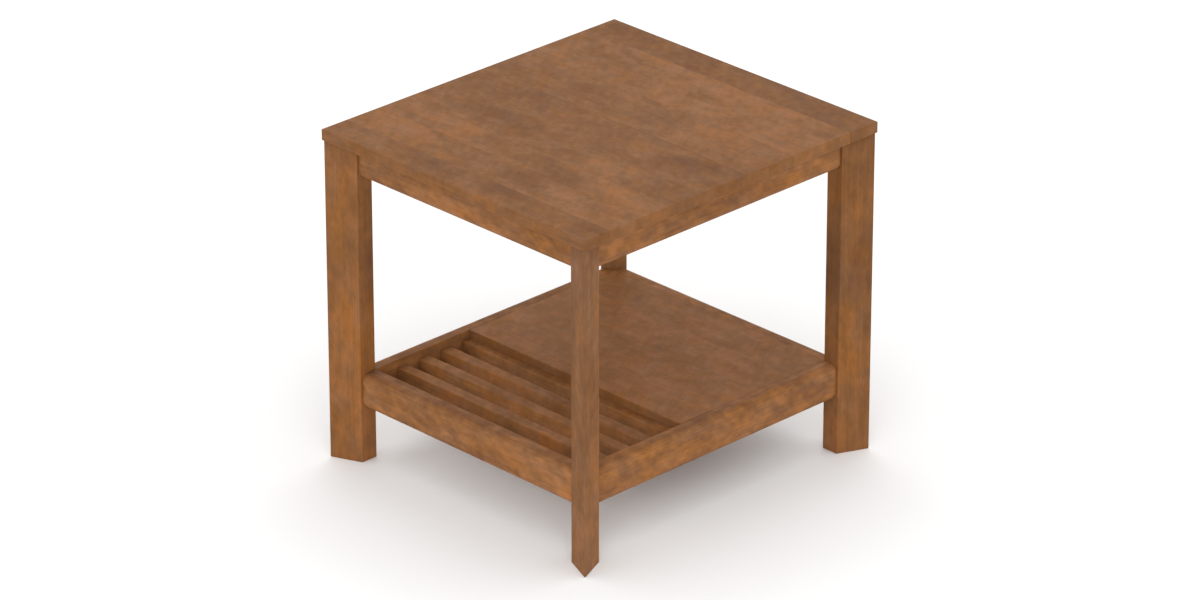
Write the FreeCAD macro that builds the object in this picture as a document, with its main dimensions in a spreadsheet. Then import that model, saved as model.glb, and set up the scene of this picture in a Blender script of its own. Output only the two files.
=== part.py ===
import FreeCAD, Part
import os
import Sketcher

# End table with a shelf: a glued-up top on four legs of kite section, joined by four aprons and
# four lower rails. The lower frame holds a shelf board at the back and open slats at the front.
# Millimetres, +Z up, origin on the floor under the middle of the top, front towards -Y.

os.makedirs("parts", exist_ok=True)
doc = FreeCAD.newDocument("end_table")

# Driving sizes
SIZES = {
    "top_width": (559, "width of the top, left to right, along its staves"),
    "top_thickness": (18, "thickness of the top"),
    "table_height": (543, "floor to the upper face of the top"),
    "top_stave_1": (51, "width of the frontmost stave of the top"),
    "top_stave_2": (66, "width of the next stave"),
    "top_stave_3": (55, "width of the next stave"),
    "top_stave_4": (81, "width of the next stave"),
    "top_stave_5": (79, "width of the next stave"),
    "top_stave_6": (97, "width of the next stave"),
    "top_stave_7": (121, "width of the next stave"),
    "top_stave_8": (60, "width of the rearmost stave"),
    "top_ease": (1.2, "rounding of the edges of the top"),
    "leg_inset": (2, "edge of the top to the outer edge of a leg, each way"),
    "leg_side": (50, "outer edge of a leg to its inner faces, each way"),
    "leg_face": (29, "width of a leg's inner faces, which take the rails"),
    "leg_tip_ease": (0.8, "rounding of a leg's outer edge"),
    "leg_ease": (1.5, "rounding of a leg's two side edges"),
    "rail_thickness": (25, "thickness of aprons and rails"),
    "apron_height": (54, "height of an apron"),
    "rail_height": (58, "height of a lower rail"),
    "rail_lift": (90, "floor to the underside of a lower rail"),
    "rail_round": (12, "rounding of the outer edges of aprons and rails"),
    "dowel_diameter": (8, "diameter of a dowel"),
    "dowel_length": (36, "length of a dowel, half in the rail and half in the leg"),
    "dowel_chamfer": (1, "chamfer at a dowel's ends"),
    "dowel_wall": (3, "wood left between dowels that pass each other in a leg"),
    "dowel_clearance": (0.1, "room round a dowel in its bore"),
    "dowel_room": (1, "room past each end of a dowel, for glue"),
    "shelf_thickness": (13, "thickness of the shelf board"),
    "shelf_fit": (0.4, "room between the shelf pieces and the rails"),
    "shelf_ease": (1.2, "rounding of the shelf board's front edges"),
    "slat_width": (20, "width of a slat or bearer"),
    "slat_height": (20, "height of a slat or bearer"),
    "slat_gap": (25, "gap between slats"),
    "slat_tuck": (3, "reach of the last slat under the shelf board"),
    "slat_ease": (1.5, "rounding of a slat's long edges"),
    "cleat_width": (20, "width of a cleat"),
    "cleat_height": (15, "height of a cleat"),
    "screw_shank": (4, "diameter of a wood screw"),
    "screw_head": (8, "diameter of its countersunk head"),
    "screw_head_depth": (2.5, "depth of its head"),
    "screw_tip": (4, "length of a screw's point"),
    "screw_bite": (10, "length of a wood screw in the piece that it holds"),
    "screw_clearance": (0.15, "room round a screw in its bore"),
    "shelf_screw_end": (60, "end of a bearer to its nearest shelf screw"),
    "clip_width": (18, "width of an angle clip"),
    "clip_leg": (22, "length of a clip's two legs"),
    "clip_plate": (2, "thickness of a clip"),
    "clip_hole": (5, "diameter of a clip's holes"),
    "clip_hole_set": (14, "corner of a clip to its holes"),
    "clip_end": (95, "end of an apron to the middle of its clip"),
    "clip_screw_shank": (3.5, "diameter of a clip screw"),
    "clip_screw_head": (8, "diameter of its pan head"),
    "clip_screw_crown": (5, "diameter of the flat on its head"),
    "clip_screw_height": (2.2, "height of its head"),
    "clip_screw_bite": (10, "length of a clip screw in the wood"),
    "drive_span": (4, "length of the cross recess in a screw head"),
    "drive_width": (1, "width of the cross recess"),
    "drive_depth": (1.2, "depth of the cross recess"),
    "bore_overrun": (1, "reach of a cutting tool past the face that it enters"),
}
SHELF_STAVES = 4
SLATS = 5

sheet = doc.addObject("Spreadsheet::Sheet", "sizes")
for row, (alias, (size, note)) in enumerate(SIZES.items(), start=1):
    sheet.set("A%d" % row, alias)
    sheet.set("B%d" % row, str(size))
    sheet.set("C%d" % row, note)
    sheet.setAlias("B%d" % row, alias)
doc.recompute()

# Formulas for the places and sizes that several pieces share
TOP_STAVES = [alias for alias in SIZES if alias.startswith("top_stave_")]
TOP_DEPTH = "(" + " + ".join("sizes." + alias for alias in TOP_STAVES) + ")"
TOP_UNDERSIDE = "(sizes.table_height - sizes.top_thickness)"
CLEAR_X = "(sizes.top_width / 2 - sizes.leg_inset - sizes.leg_side)"
CLEAR_Y = f"({TOP_DEPTH} / 2 - sizes.leg_inset - sizes.leg_side)"
APRON_LIFT = f"({TOP_UNDERSIDE} - sizes.apron_height)"
SLAT_TOP = "(sizes.rail_lift + sizes.rail_height - sizes.shelf_thickness)"
SLAT_LIFT = f"({SLAT_TOP} - sizes.slat_height)"
SLAT_PITCH = "(sizes.slat_width + sizes.slat_gap)"
CLEAT_LIFT = f"({SLAT_LIFT} - sizes.cleat_height)"
SHELF_START = f"(sizes.shelf_fit - {CLEAR_X})"
SHELF_LENGTH = f"(2 * {CLEAR_X} - 2 * sizes.shelf_fit)"
SHELF_FRONT = f"(-{CLEAR_Y} + {SLATS} * {SLAT_PITCH} - sizes.slat_gap - sizes.slat_tuck)"
SHELF_STAVE = f"(({CLEAR_Y} - sizes.shelf_fit - {SHELF_FRONT}) / {SHELF_STAVES})"
DOWEL_STEP = "(sizes.dowel_diameter + sizes.dowel_wall)"
CLIP_SCREW = "(sizes.clip_plate + sizes.clip_screw_bite)"

# The four sides, each with a frame of its own on the floor: x runs along the rail from its start
# and y runs inwards from the rail's outer face. From one side to the next the frame turns about Z.
SIDES = {
    "front": (f"-{CLEAR_X}", f"-{CLEAR_Y} - sizes.rail_thickness", 0, f"(2 * {CLEAR_X})"),
    "right": (f"{CLEAR_X} + sizes.rail_thickness", f"-{CLEAR_Y}", 90, f"(2 * {CLEAR_Y})"),
    "back": (CLEAR_X, f"{CLEAR_Y} + sizes.rail_thickness", 180, f"(2 * {CLEAR_X})"),
    "left": (f"-{CLEAR_X} - sizes.rail_thickness", CLEAR_Y, 270, f"(2 * {CLEAR_Y})"),
}
CLEATS = ("left", "right")

# Aprons and rails: underside, height and the edges that are rounded
MEMBERS = {
    "apron": (APRON_LIFT, "sizes.apron_height", ["x00"]),
    "rail": ("sizes.rail_lift", "sizes.rail_height", ["x00", "x01"]),
}

# Heights of the two dowels at each end of an apron or rail, in steps from its middle. The two ends
# differ, so that the dowels of two neighbours pass each other inside the leg.
START_DOWELS = (-1.5, 0.5)
END_DOWELS = (-0.5, 1.5)

# Corners where the legs stand: signs of x and y, and the leg's turn about Z
CORNERS = {
    "front_left": ("-", "-", 0),
    "front_right": ("", "-", 90),
    "back_right": ("", "", 180),
    "back_left": ("-", "", 270),
}

# Middles, along y, of the sticks that lie across the cleats: open slats, then bearers
STICKS = {}
for number in range(SLATS):
    STICKS["slat_%d" % (number + 1)] = f"(-{CLEAR_Y} + {number} * {SLAT_PITCH} + sizes.slat_width / 2)"
for number in range(SHELF_STAVES):
    STICKS["bearer_%d" % (number + 1)] = f"({SHELF_FRONT} + {number + 0.5} * {SHELF_STAVE})"

# Pairs of sticks with a cleat screw midway between them
CLEAT_SCREW_GAPS = [
    ("slat_1", "slat_2"),
    ("slat_4", "slat_5"),
    ("bearer_1", "bearer_2"),
    ("bearer_3", "bearer_4"),
]

# Turns that point a solid's own Z along an axis
UP = FreeCAD.Vector(0, 0, 1)
WAYS = {
    "+z": (UP, 0),
    "+x": (FreeCAD.Vector(0, 1, 0), 90),
    "+y": (FreeCAD.Vector(1, 0, 0), -90),
    "-y": (FreeCAD.Vector(1, 0, 0), 90),
}
nodes = []


def value(formula):
    """Present value of a formula."""
    return float(sheet.evalExpression(formula))


def place(thing, x, y, z, axis=UP, angle=0):
    """Turns an object and ties its position to formulas."""
    thing.Placement = FreeCAD.Placement(FreeCAD.Vector(), FreeCAD.Rotation(axis, angle))
    for name, formula in zip("xyz", (x, y, z)):
        thing.setExpression("Placement.Base." + name, formula)
    return thing


def place_at_side(thing, side):
    """Moves an object from a side's own frame to that side of the table."""
    x, y, turn = SIDES[side][:3]
    return place(thing, x, y, "0", UP, turn)


def group(name, members):
    """Compound of objects that stay separate solids."""
    compound = doc.addObject("Part::Compound", name)
    compound.Links = members
    return compound


def copies(name, pattern, spots):
    """Links to one solid at several spots, each of x, y, z and the way that its Z points."""
    links = []
    for x, y, z, way in spots:
        link = doc.addObject("App::Link", name)
        link.LinkedObject = pattern
        links.append(place(link, x, y, z, *WAYS[way]))
    return links


def bored(name, blank, tools):
    """What is left when the tools are cut out of a blank."""
    cut = doc.addObject("Part::Cut", name)
    cut.Base = blank
    cut.Tool = group(name + "_tools", tools)
    return cut


def keep(piece):
    """Keeps an object as a finished piece of the table."""
    nodes.append(piece)


def outline(body, name, role, corners):
    """Closed straight-sided sketch whose corners are tied to pairs of formulas."""
    sketch = body.newObject("Sketcher::SketchObject", name)
    plane = [item for item in body.Origin.OriginFeatures if item.Role == role][0]
    sketch.AttachmentSupport = (plane, [""])
    sketch.MapMode = "FlatFace"
    points = [FreeCAD.Vector(value(x), value(y), 0) for x, y in corners]
    following = points[1:] + points[:1]
    for start, end in zip(points, following):
        sketch.addGeometry(Part.LineSegment(start, end))
    for line in range(len(points)):
        after = (line + 1) % len(points)
        sketch.addConstraint(Sketcher.Constraint("Coincident", line, 2, after, 1))
    for line, (x, y) in enumerate(corners):
        for kind, axis, formula in (("DistanceX", -2, x), ("DistanceY", -1, y)):
            if formula == "0":
                sketch.addConstraint(Sketcher.Constraint("PointOnObject", line, 1, axis))
                continue
            tie = Sketcher.Constraint(kind, -1, 1, line, 1, value(formula))
            sketch.setExpression("Constraints[%d]" % sketch.addConstraint(tie), formula)
    return sketch


def extruded(name, role, corners, length):
    """Body with one straight pad of a sketched outline."""
    body = doc.addObject("PartDesign::Body", name)
    sketch = outline(body, name + "_outline", role, corners)
    pad = body.newObject("PartDesign::Pad", name + "_pad")
    pad.Profile = sketch
    pad.setExpression("Length", length)
    doc.recompute()
    return body


def turned(name, profile):
    """Body turned about its own Z from a half section of radius and height formulas."""
    body = doc.addObject("PartDesign::Body", name)
    sketch = outline(body, name + "_half_section", "XZ_Plane", profile)
    turning = body.newObject("PartDesign::Revolution", name + "_turning")
    turning.Profile = sketch
    turning.ReferenceAxis = (sketch, ["V_Axis"])
    doc.recompute()
    return body


def round_off(body, radius, middles):
    """Fillet on the edges whose middles lie nearest to the given points."""
    base = body.Tip
    names = []
    for middle in middles:
        reach = [(edge.CenterOfMass - middle).Length for edge in base.Shape.Edges]
        names.append("Edge%d" % (reach.index(min(reach)) + 1))
    fillet = body.newObject("PartDesign::Fillet", body.Name + "_fillet")
    fillet.Base = (base, names)
    fillet.setExpression("Radius", radius)
    doc.recompute()


def plank(name, length, width, height, rounding, edges):
    """Straight stick from its own corner along x, with some edges rounded.

    An edge is named by the axis that it runs along and by the end of the other two axes that it
    lies at, so x01 runs along x at the low end of y and the high end of z.
    """
    corners = [("0", "0"), (length, "0"), (length, width), ("0", width)]
    body = extruded(name, "XY_Plane", corners, height)
    middles = []
    for edge in edges:
        shares = [int(mark) for mark in edge[1:]]
        shares.insert("xyz".index(edge[0]), 0.5)
        spans = [value(formula) for formula in (length, width, height)]
        middles.append(FreeCAD.Vector(*[span * share for span, share in zip(spans, shares)]))
    if middles:
        round_off(body, rounding, middles)
    return body


def straight_bore(name, diameter, clearance, start, end):
    """Cylindrical cutting tool along its own Z."""
    radius = f"{diameter} / 2 + {clearance}"
    return turned(name, [("0", start), (radius, start), (radius, end), ("0", end)])


def cross_recess(screw, crown):
    """Cuts a cross recess into a screw head whose flat lies at the height of its crown."""
    span = "(sizes.drive_span / 2)"
    width = "(sizes.drive_width / 2)"
    arm = [(span, f"-{width}"), (span, width), (width, width)]
    corners = []
    for quarter in range(4):
        corners += arm
        arm = [(f"-({y})", x) for x, y in arm]
    sketch = outline(screw, screw.Name + "_cross", "XY_Plane", corners)
    sketch.setExpression("AttachmentOffset.Base.z", crown)
    recess = screw.newObject("PartDesign::Pocket", screw.Name + "_recess")
    recess.Profile = sketch
    recess.Reversed = True
    recess.setExpression("Length", "sizes.drive_depth")
    solid_volume = recess.BaseFeature.Shape.Volume
    doc.recompute()
    if recess.Shape.Volume >= solid_volume:
        raise RuntimeError("the recess of %s cuts nothing" % screw.Name)


def wood_screw(name, clamped):
    """Countersunk screw, head at its own origin, that clamps a given thickness, and its bore."""
    length = f"({clamped} + sizes.screw_bite)"
    head = "sizes.screw_head / 2"
    shank = "sizes.screw_shank / 2"
    room = "sizes.screw_clearance"
    screw = turned(name, [
        ("0", "0"),
        (head, "0"),
        (shank, "sizes.screw_head_depth"),
        (shank, f"{length} - sizes.screw_tip"),
        ("0", length),
    ])
    cross_recess(screw, "0")
    bore = turned(name + "_bore", [
        ("0", "-sizes.bore_overrun"),
        (f"{head} + {room}", "-sizes.bore_overrun"),
        (f"{head} + {room}", "0"),
        (f"{shank} + {room}", "sizes.screw_head_depth"),
        (f"{shank} + {room}", f"{length} + {room}"),
        ("0", f"{length} + {room}"),
    ])
    return screw, bore


def make_dowel():
    """Chamfered dowel with its middle at its own origin, and its bore."""
    radius = "sizes.dowel_diameter / 2"
    end = "sizes.dowel_length / 2"
    chamfer = "sizes.dowel_chamfer"
    dowel = turned("dowel", [
        ("0", f"-{end}"),
        (f"{radius} - {chamfer}", f"-{end}"),
        (radius, f"-{end} + {chamfer}"),
        (radius, f"{end} - {chamfer}"),
        (f"{radius} - {chamfer}", end),
        ("0", end),
    ])
    bore = straight_bore(
        "dowel_bore",
        "sizes.dowel_diameter",
        "sizes.dowel_clearance",
        f"-{end} - sizes.dowel_room",
        f"{end} + sizes.dowel_room",
    )
    return dowel, bore


def make_clip():
    """Angle clip, its corner where the apron's inner face meets the top, one leg down and one in."""
    leg = "sizes.clip_leg"
    plate = "sizes.clip_plate"
    section = [
        ("0", "0"),
        (leg, "0"),
        (leg, f"-{plate}"),
        (plate, f"-{plate}"),
        (plate, f"-{leg}"),
        ("0", f"-{leg}"),
    ]
    blank = extruded("clip_blank", "YZ_Plane", section, "sizes.clip_width")
    hole = straight_bore(
        "clip_hole", "sizes.clip_hole", "0", "-sizes.bore_overrun", f"{plate} + sizes.bore_overrun"
    )
    middle = "sizes.clip_width / 2"
    spots = [
        (middle, "0", "-sizes.clip_hole_set", "+y"),
        (middle, "sizes.clip_hole_set", f"-{plate}", "+z"),
    ]
    return bored("clip", blank, copies("clip_hole_spot", hole, spots))


def make_clip_screw():
    """Pan-head screw, the underside of its head at its own origin, and its bore."""
    height = "sizes.clip_screw_height"
    shank = "sizes.clip_screw_shank / 2"
    screw = turned("clip_screw", [
        ("0", f"-{height}"),
        ("sizes.clip_screw_crown / 2", f"-{height}"),
        ("sizes.clip_screw_head / 2", "0"),
        (shank, "0"),
        (shank, f"{CLIP_SCREW} - sizes.screw_tip"),
        ("0", CLIP_SCREW),
    ])
    cross_recess(screw, f"-{height}")
    bore = straight_bore(
        "clip_screw_bore",
        "sizes.clip_screw_shank",
        "sizes.screw_clearance",
        "-sizes.bore_overrun",
        f"{CLIP_SCREW} + sizes.screw_clearance",
    )
    return screw, bore


def dowel_heights(kind, ranks):
    """Heights of the dowels of an apron or rail."""
    lift, height, edges = MEMBERS[kind]
    return [f"{lift} + {height} / 2 + {rank} * {DOWEL_STEP}" for rank in ranks]


def dowel_spots(kind, side):
    """Dowels at both ends of an apron or rail, in its side's frame."""
    length = SIDES[side][3]
    middle = "sizes.rail_thickness / 2"
    spots = [("0", middle, height, "+x") for height in dowel_heights(kind, START_DOWELS)]
    spots += [(length, middle, height, "+x") for height in dowel_heights(kind, END_DOWELS)]
    return spots


def clip_places(side):
    """Distances of an apron's clips along its side."""
    return ["sizes.clip_end", f"{SIDES[side][3]} - sizes.clip_end"]


def clip_spots(side):
    """Clips on an apron, in its side's frame."""
    return [
        (f"{x} - sizes.clip_width / 2", "sizes.rail_thickness", TOP_UNDERSIDE, "+z")
        for x in clip_places(side)
    ]


def apron_screw_spots(side):
    """Screws from the clips into an apron."""
    y = "sizes.rail_thickness + sizes.clip_plate"
    return [(x, y, f"{TOP_UNDERSIDE} - sizes.clip_hole_set", "-y") for x in clip_places(side)]


def top_screw_spots(side):
    """Screws from the clips into the top."""
    y = "sizes.rail_thickness + sizes.clip_hole_set"
    return [(x, y, f"{TOP_UNDERSIDE} - sizes.clip_plate", "+z") for x in clip_places(side)]


def along_side(side, y):
    """Distance along the left or right side of a place on the table's y axis."""
    return f"{CLEAR_Y} + {y}" if side == "right" else f"{CLEAR_Y} - {y}"


def cleat_screw_spots(side):
    """Screws from a cleat into its rail, clear of the sticks' own screws."""
    y = "sizes.rail_thickness + sizes.cleat_width"
    z = f"{CLEAT_LIFT} + sizes.cleat_height / 2"
    spots = []
    for first, second in CLEAT_SCREW_GAPS:
        spots.append((along_side(side, f"({STICKS[first]} + {STICKS[second]}) / 2"), y, z, "-y"))
    return spots


def stick_screw_spots(side):
    """Screws up through a cleat into the sticks on it, in its side's frame."""
    y = "sizes.rail_thickness + sizes.cleat_width / 2"
    return [(along_side(side, middle), y, CLEAT_LIFT, "+z") for middle in STICKS.values()]


def end_screw_spots():
    """The same screws at both ends of one stick, in the stick's own frame."""
    inset = "(sizes.cleat_width / 2 - sizes.shelf_fit)"
    ends = (inset, f"{SHELF_LENGTH} - {inset}")
    return [(x, "sizes.slat_width / 2", "-sizes.cleat_height", "+z") for x in ends]


def shelf_screw_spots(y, z):
    """Screws up through a bearer into its stave, in the frame of either."""
    ends = ("sizes.shelf_screw_end", f"{SHELF_LENGTH} - sizes.shelf_screw_end")
    return [(x, y, z, "+z") for x in ends]


def make_leg(corner):
    """Leg of kite section, its sharp edge towards the corner of the top, bored for the dowels."""
    name = "leg_" + corner
    side = "sizes.leg_side"
    flank = "(sizes.leg_side - sizes.leg_face)"
    section = [("0", "0"), (side, flank), (side, side), (flank, side)]
    blank = extruded(name + "_blank", "XY_Plane", section, TOP_UNDERSIDE)
    half = value(TOP_UNDERSIDE) / 2
    tip, near, inner, far = [FreeCAD.Vector(value(x), value(y), half) for x, y in section]
    round_off(blank, "sizes.leg_tip_ease", [tip])
    round_off(blank, "sizes.leg_ease", [near, far])
    middle = f"{side} - sizes.rail_thickness / 2"
    spots = []
    for kind in MEMBERS:
        spots += [(side, middle, height, "+x") for height in dowel_heights(kind, START_DOWELS)]
        spots += [(middle, side, height, "+y") for height in dowel_heights(kind, END_DOWELS)]
    leg = bored(name, blank, copies(name + "_bore", dowel_bore, spots))
    sign_x, sign_y, turn = CORNERS[corner]
    x = f"{sign_x}(sizes.top_width / 2 - sizes.leg_inset)"
    y = f"{sign_y}({TOP_DEPTH} / 2 - sizes.leg_inset)"
    return place(leg, x, y, "0", UP, turn)


def make_member(kind, side):
    """Apron or rail between two legs, bored for its dowels and screws."""
    name = kind + "_" + side
    lift, height, edges = MEMBERS[kind]
    length = SIDES[side][3]
    blank = plank(name + "_blank", length, "sizes.rail_thickness", height, "sizes.rail_round", edges)
    place(blank, "0", "0", lift)
    tools = copies(name + "_dowel_bore", dowel_bore, dowel_spots(kind, side))
    if kind == "apron":
        tools += copies(name + "_clip_bore", clip_screw_bore, apron_screw_spots(side))
    elif side in CLEATS:
        tools += copies(name + "_cleat_bore", cleat_screw_bore, cleat_screw_spots(side))
    return place_at_side(bored(name, blank, tools), side)


def make_cleat(side):
    """Cleat on the inner face of a rail, under the slats and bearers."""
    name = "cleat_" + side
    length = f"({SIDES[side][3]} - 2 * sizes.shelf_fit)"
    blank = plank(name + "_blank", length, "sizes.cleat_width", "sizes.cleat_height", "0", [])
    place(blank, "sizes.shelf_fit", "sizes.rail_thickness", CLEAT_LIFT)
    tools = copies(name + "_bore", cleat_screw_bore, cleat_screw_spots(side))
    tools += copies(name + "_stick_bore", slat_screw_bore, stick_screw_spots(side))
    return place_at_side(bored(name, blank, tools), side)


def stick_place(thing, name):
    """Moves an object from a stick's own frame to its place on the cleats."""
    return place(thing, SHELF_START, f"{STICKS[name]} - sizes.slat_width / 2", SLAT_LIFT)


def make_stick(name):
    """Slat or bearer across the cleats."""
    edges = ["x00", "x01", "x10", "x11"]
    blank = plank(
        name + "_blank", SHELF_LENGTH, "sizes.slat_width", "sizes.slat_height", "sizes.slat_ease", edges
    )
    tools = copies(name + "_end_bore", slat_screw_bore, end_screw_spots())
    if name.startswith("bearer"):
        spots = shelf_screw_spots("sizes.slat_width / 2", "0")
        tools += copies(name + "_shelf_bore", shelf_screw_bore, spots)
    return stick_place(bored(name, blank, tools), name)


def make_shelf_stave(number):
    """Stave of the shelf board, over its own bearer."""
    name = "shelf_stave_%d" % (number + 1)
    edges = ["x00", "x01"] if number == 0 else []
    thickness = "sizes.shelf_thickness"
    blank = plank(name + "_blank", SHELF_LENGTH, SHELF_STAVE, thickness, "sizes.shelf_ease", edges)
    spots = shelf_screw_spots(f"{SHELF_STAVE} / 2", "-sizes.slat_height")
    stave = bored(name, blank, copies(name + "_bore", shelf_screw_bore, spots))
    return place(stave, SHELF_START, f"{SHELF_FRONT} + {number} * {SHELF_STAVE}", SLAT_TOP)


def make_top_stave(number, bores):
    """Stave of the top, its outer edges eased, bored from below for the clips' screws."""
    name = TOP_STAVES[number]
    before = " + ".join(["0"] + ["sizes." + alias for alias in TOP_STAVES[:number]])
    edges = ["y00", "y01", "y10", "y11"]
    if number == 0:
        edges += ["x00", "x01", "z00", "z10"]
    if number == len(TOP_STAVES) - 1:
        edges += ["x10", "x11", "z01", "z11"]
    width = "sizes." + name
    thickness = "sizes.top_thickness"
    blank = plank(name + "_blank", "sizes.top_width", width, thickness, "sizes.top_ease", edges)
    x = "sizes.top_width / 2"
    y = f"({TOP_DEPTH} / 2 - ({before}))"
    stave = bored(name, blank, copies(name + "_bore", bores, [(x, y, f"-{TOP_UNDERSIDE}", "+z")]))
    return place(stave, f"-{x}", f"-{y}", TOP_UNDERSIDE)


def around(name, pattern, spots, sides=SIDES):
    """Group of copies of one solid at the spots that each side gives in its own frame."""
    sets = []
    for side in sides:
        members = copies(name + "_copy", pattern, spots(side))
        sets.append(place_at_side(group(name + "_" + side, members), side))
    return group(name, sets)


# Fasteners, each with its bore
dowel, dowel_bore = make_dowel()
clip = make_clip()
clip_screw, clip_screw_bore = make_clip_screw()
cleat_screw, cleat_screw_bore = wood_screw("cleat_screw", "sizes.cleat_width")
slat_screw, slat_screw_bore = wood_screw("slat_screw", "sizes.cleat_height")
shelf_screw, shelf_screw_bore = wood_screw("shelf_screw", "sizes.slat_height")

# Frame
for corner in CORNERS:
    keep(make_leg(corner))
for kind in MEMBERS:
    for side in SIDES:
        keep(make_member(kind, side))
    keep(around(kind + "_dowels", dowel, lambda side: dowel_spots(kind, side)))

# Top and what holds it
top_bores = around("top_bores", clip_screw_bore, top_screw_spots)
for number in range(len(TOP_STAVES)):
    keep(make_top_stave(number, top_bores))
keep(around("top_clips", clip, clip_spots))
keep(around("clip_screws", clip_screw, lambda side: apron_screw_spots(side) + top_screw_spots(side)))

# Shelf and what holds it
for side in CLEATS:
    keep(make_cleat(side))
for name in STICKS:
    keep(make_stick(name))
for number in range(SHELF_STAVES):
    keep(make_shelf_stave(number))
keep(around("cleat_screws", cleat_screw, cleat_screw_spots, CLEATS))
keep(around("slat_screws", slat_screw, stick_screw_spots, CLEATS))
bearer_screws = []
for name in list(STICKS)[SLATS:]:
    spots = shelf_screw_spots("sizes.slat_width / 2", "0")
    pair = group(name + "_screws", copies(name + "_screw", shelf_screw, spots))
    bearer_screws.append(stick_place(pair, name))
keep(group("shelf_screws", bearer_screws))

doc.recompute()
failed = [item.Name for item in doc.Objects if {"Invalid", "Error"} & set(item.State)]
failed += [piece.Label for piece in nodes if piece.Shape.isNull() or not piece.Shape.isValid()]
if failed:
    raise RuntimeError("failed: " + ", ".join(failed))
for piece in nodes:
    piece.Shape.exportStep("parts/%s.step" % piece.Label)
print(len(nodes), "pieces written")
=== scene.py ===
"""End table with a shelf, its boards in stained maple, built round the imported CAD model."""
import math
import random

import bmesh
import bpy
from bpy.props import FloatProperty, FloatVectorProperty, PointerProperty
from mathutils import Matrix, Vector


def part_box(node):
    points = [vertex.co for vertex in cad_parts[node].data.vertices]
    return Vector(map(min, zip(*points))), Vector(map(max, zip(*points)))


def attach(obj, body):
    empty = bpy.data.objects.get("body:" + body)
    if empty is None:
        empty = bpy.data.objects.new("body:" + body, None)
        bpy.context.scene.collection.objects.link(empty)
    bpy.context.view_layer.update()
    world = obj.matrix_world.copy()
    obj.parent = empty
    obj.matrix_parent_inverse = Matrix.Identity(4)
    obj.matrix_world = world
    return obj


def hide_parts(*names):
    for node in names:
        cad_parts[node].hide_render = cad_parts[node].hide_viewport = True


bl_info = {
    "name": "End table with shelf",
    "version": (1, 0, 0),
    "blender": (4, 5, 0),
    "location": "View3D > Sidebar > End table",
    "description": "Shapes and stains the boards of an end table round its CAD model",
    "category": "Object",
}

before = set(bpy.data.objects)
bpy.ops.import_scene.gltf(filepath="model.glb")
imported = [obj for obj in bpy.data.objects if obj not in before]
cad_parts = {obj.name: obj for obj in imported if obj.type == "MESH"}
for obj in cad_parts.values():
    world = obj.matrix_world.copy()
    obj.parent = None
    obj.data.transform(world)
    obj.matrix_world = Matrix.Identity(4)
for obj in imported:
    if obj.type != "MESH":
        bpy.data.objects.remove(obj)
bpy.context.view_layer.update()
CORNERS = ("front_left", "front_right", "back_right", "back_left")
AXES = "xyz"

# Millimetres in a metre, and the distance in metres within which two places count as one
MM = 1000
SAME_PLACE = 1e-5

# Steps in the rounding of the rails' outer edges, of eased edges, of finely eased ones and of feet
ROUND_STEPS = 14
EASE_STEPS = 4
FINE_EASE_STEPS = 3
FOOT_STEPS = 2

# Faces that meet at less than this angle are shaded as one surface
SMOOTH_ANGLE = math.radians(40)

# Farthest that a board's grain is shifted each way, in metres
GRAIN_SHIFT = 4

# Brightness of the zinc plating where it is dull, as a share of the rest
DULL_SHARE = 0.8

# Width of the camera's sensor, in mm
SENSOR_WIDTH = 36

# Tone of each board, 1 for the stain's own colours: shelf and slats from front to back, legs in the
# order of CORNERS
TOP_TONE = 0.825
SHELF_TONES = (1.03, 1.02, 1.01, 0.99)
LEG_TONES = (0.87, 0.86, 0.82, 0.86)
RAIL_TONE = 1.04
SLAT_TONES = (0.98, 0.96, 1.03, 0.92, 0.97)

# Strength of the clouds and of the mottling in each kind of board, and how far its marks are drawn
# out along the grain
TOP_FIGURE = (0.8, 1.35, 1.0)
SHELF_FIGURE = (0.8, 1.15, 0.8)
LEG_FIGURE = (0.95, 1.65, 1.7)
RAIL_FIGURE = (1.2, 2.4, 1.5)
SLAT_FIGURE = (1.2, 1.7, 1.0)

# Each stave of the top, from front to back: below 0 it took more stain than most, above 0 less
TOP_STAVES = (-0.005, 0.03, 0.053, -0.005, -0.036, 0.006, 0.065, -0.086)

# Patches of each stave that took more stain, below 0, or less: middle in mm from the table's
# middle, reach along and across the grain in mm, and strength
TOP_PATCHES = {
    1: ((-85, -272, 70, 22, -0.22), (68, -270, 55, 22, -0.26), (255, -272, 30, 24, -0.22)),
    2: ((65, -220, 45, 30, -0.12), (165, -222, 55, 26, 0.12), (-230, -222, 45, 26, 0.12)),
    3: ((88, -168, 55, 22, -0.24), (212, -150, 65, 18, 0.14), (-200, -145, 60, 18, 0.12)),
    4: ((-120, -78, 95, 28, -0.14), (110, -90, 60, 22, 0.12), (245, -90, 40, 28, -0.14)),
    5: ((205, -2, 48, 24, -0.22), (-140, -8, 125, 24, -0.10)),
    6: ((103, 98, 42, 28, 0.14), (-100, 75, 52, 22, -0.16), (40, 76, 30, 28, -0.12)),
    7: ((35, 222, 95, 18, 0.12), (-70, 170, 24, 22, -0.12), (15, 180, 24, 20, -0.10)),
}

# Reaches in mm that take in a whole leg across, and the whole of any board
LEG_WIDE = 1000
WHOLE = 5000

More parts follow.
